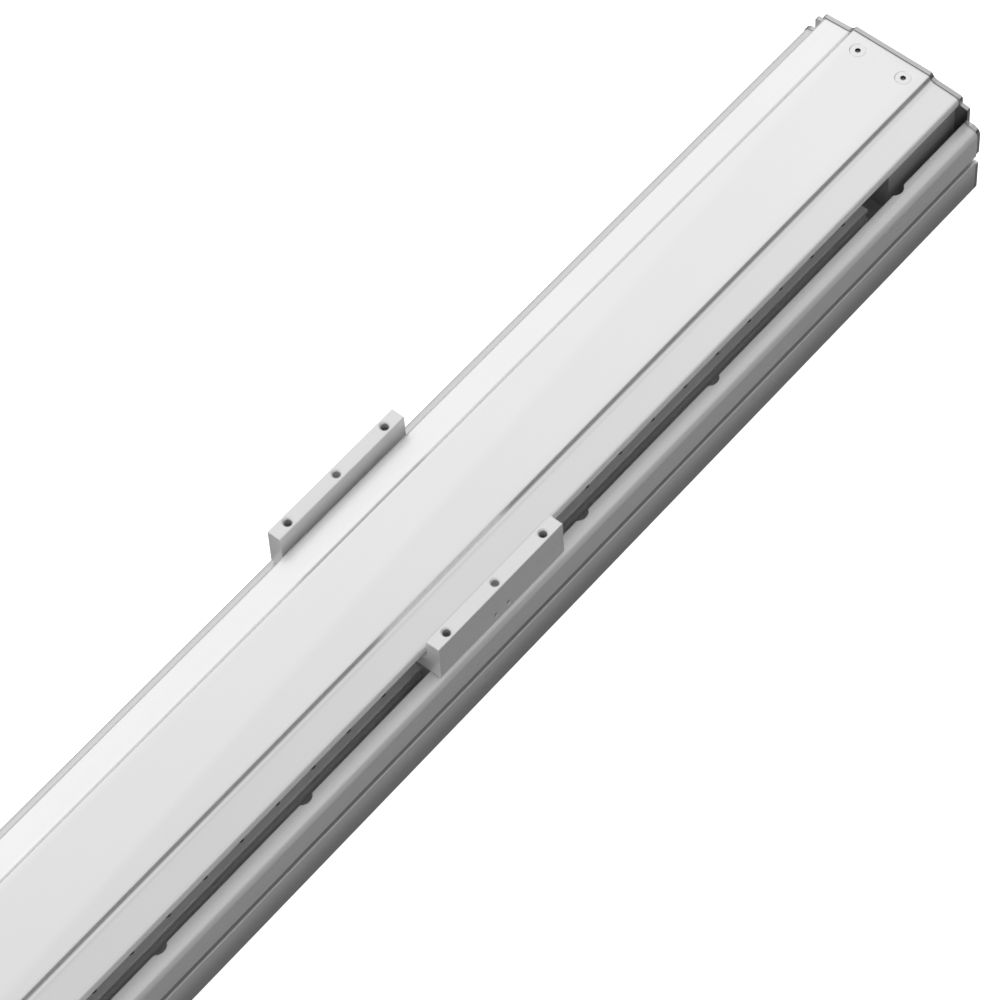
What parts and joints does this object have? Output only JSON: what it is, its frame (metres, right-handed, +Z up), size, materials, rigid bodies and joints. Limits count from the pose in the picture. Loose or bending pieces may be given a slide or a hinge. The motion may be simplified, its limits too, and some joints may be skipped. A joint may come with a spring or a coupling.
{
  "type": "belt driven linear module",
  "caption": "Long covered linear module: a slider on guide rails between two uprights, pulled by a toothed belt over a drive and an idler pulley.",
  "frame": {"origin": "middle of the base's underside, with the slider in the middle of its travel", "axes": "+X along the travel to the idler end, +Y to the motor side, +Z up"},
  "size_m": [1.4905, 0.272, 0.1436],
  "materials": {
    "anodised_aluminium": "clear anodised, satin",
    "cover_aluminium": "clear anodised, fine satin",
    "rail_steel": "ground",
    "plate_metal": "grey metallic coating",
    "dark_coated_metal": "matt black coating",
    "bolt_steel": "dark zinc",
    "black_rubber": "matt",
    "cap_plastic": "moulded, light grey"
  },
  "bodies": {
    "base": {"base_extrusion": "anodised_aluminium", "top_cover": "cover_aluminium", "guide_rail_left": "rail_steel", "guide_rail_right": "rail_steel", "timing_belt": "black_rubber", "drive_bearing_unit_left": "anodised_aluminium", "drive_bearing_unit_right": "anodised_aluminium", "motor_flange": "dark_coated_metal", "bearing_cap": "dark_coated_metal", "bearing_cap_screws": "bolt_steel", "idler_shaft": "rail_steel", "idler_fork": "anodised_aluminium", "tension_screws": "bolt_steel", "idler_end_block": "anodised_aluminium", "drive_end_block": "anodised_aluminium", "idler_end_plate": "plate_metal", "drive_end_plate": "plate_metal", "end_plate_bolts": "bolt_steel", "stop_bumpers": "black_rubber"},
    "slider": {"slider_table": "anodised_aluminium", "guide_block_left_front": "rail_steel", "guide_block_left_rear": "rail_steel", "guide_block_right_front": "rail_steel", "guide_block_right_rear": "rail_steel", "guide_block_end_caps": "cap_plastic", "belt_clamp_plate": "anodised_aluminium", "belt_clamp_jaw": "anodised_aluminium", "belt_clamp_bolts": "bolt_steel"},
    "drive": {"drive_pulley": "anodised_aluminium", "drive_shaft": "rail_steel", "drive_key": "rail_steel"},
    "idler": {"idler_pulley": "anodised_aluminium"}
  },
  "joints": [
    {"name": "table_slide", "type": "slide", "parent": "base", "child": "slider", "axis": [1, 0, 0], "range_m": [-0.5, 0.5], "deforming": ["timing_belt"]},
    {"name": "drive_turn", "type": "hinge", "parent": "base", "child": "drive", "pos_m": [-0.67, 0, 0.05], "axis": [0, 1, 0], "continuous": true},
    {"name": "idler_turn", "type": "hinge", "parent": "base", "child": "idler", "pos_m": [0.67, 0, 0.05], "axis": [0, 1, 0], "continuous": true}
  ],
  "couplings": [
    {"joint": "drive_turn", "follows": "table_slide", "rad_per_m": 31.416},
    {"joint": "idler_turn", "follows": "table_slide", "rad_per_m": 31.416}
  ]
}
